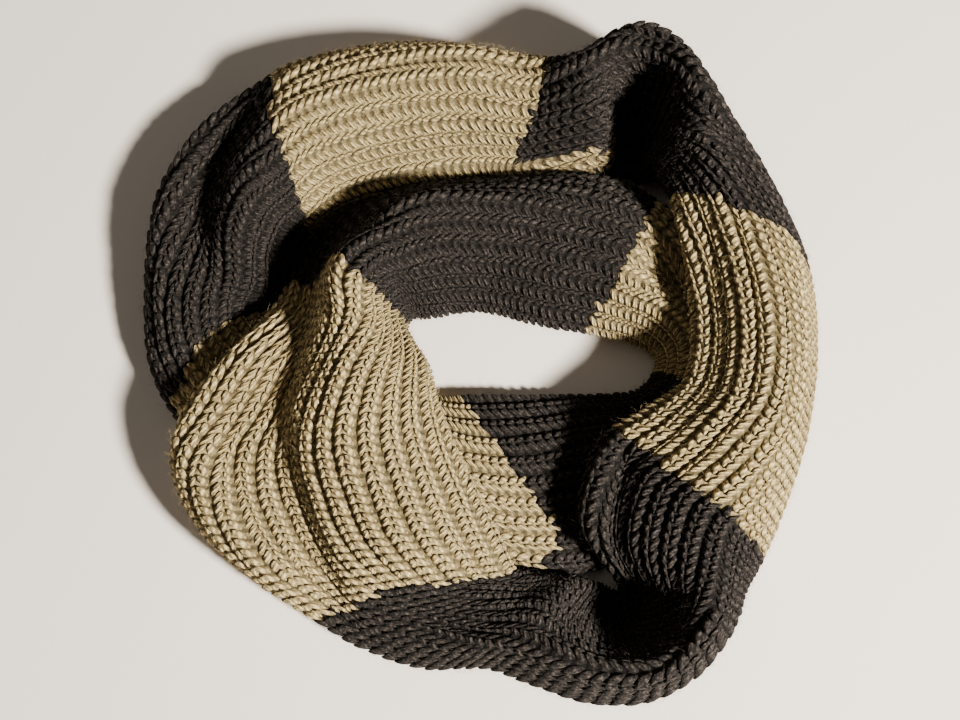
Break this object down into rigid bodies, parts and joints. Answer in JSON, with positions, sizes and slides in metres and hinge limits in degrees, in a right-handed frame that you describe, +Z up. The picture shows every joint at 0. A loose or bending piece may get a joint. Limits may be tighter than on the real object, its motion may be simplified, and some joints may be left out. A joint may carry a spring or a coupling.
{
  "type": "infinity scarf",
  "caption": "Closed band of chunky rib knit in wide charcoal and oatmeal colour blocks, laid down in two turns as a soft ring.",
  "frame": {"origin": "under the middle of the laid-down ring, on the surface it rests on", "axes": "+Z up from the surface; +Y towards the standing crown loop at the picture's top; +X towards the picture's right"},
  "size_m": [0.3265, 0.3218, 0.0954],
  "materials": {
    "charcoal_knit": "matte, softly fuzzy wool rib in heathered charcoal",
    "oatmeal_knit": "matte, softly fuzzy wool rib in heathered oatmeal",
    "hidden_knit": "the same matte wool, bunched inside the rolls"
  },
  "bodies": {
    "root": {"dark_crown_loop": "charcoal_knit", "light_top_arc": "oatmeal_knit", "dark_left_arc": "charcoal_knit", "light_under_pass": "oatmeal_knit", "dark_inner_bottom": "charcoal_knit", "light_inner_right": "oatmeal_knit", "dark_inner_top": "charcoal_knit", "light_left_over": "oatmeal_knit", "dark_bottom_cup": "charcoal_knit", "light_right_arc": "oatmeal_knit", "hidden_layers": "hidden_knit"}
  },
  "joints": []
}
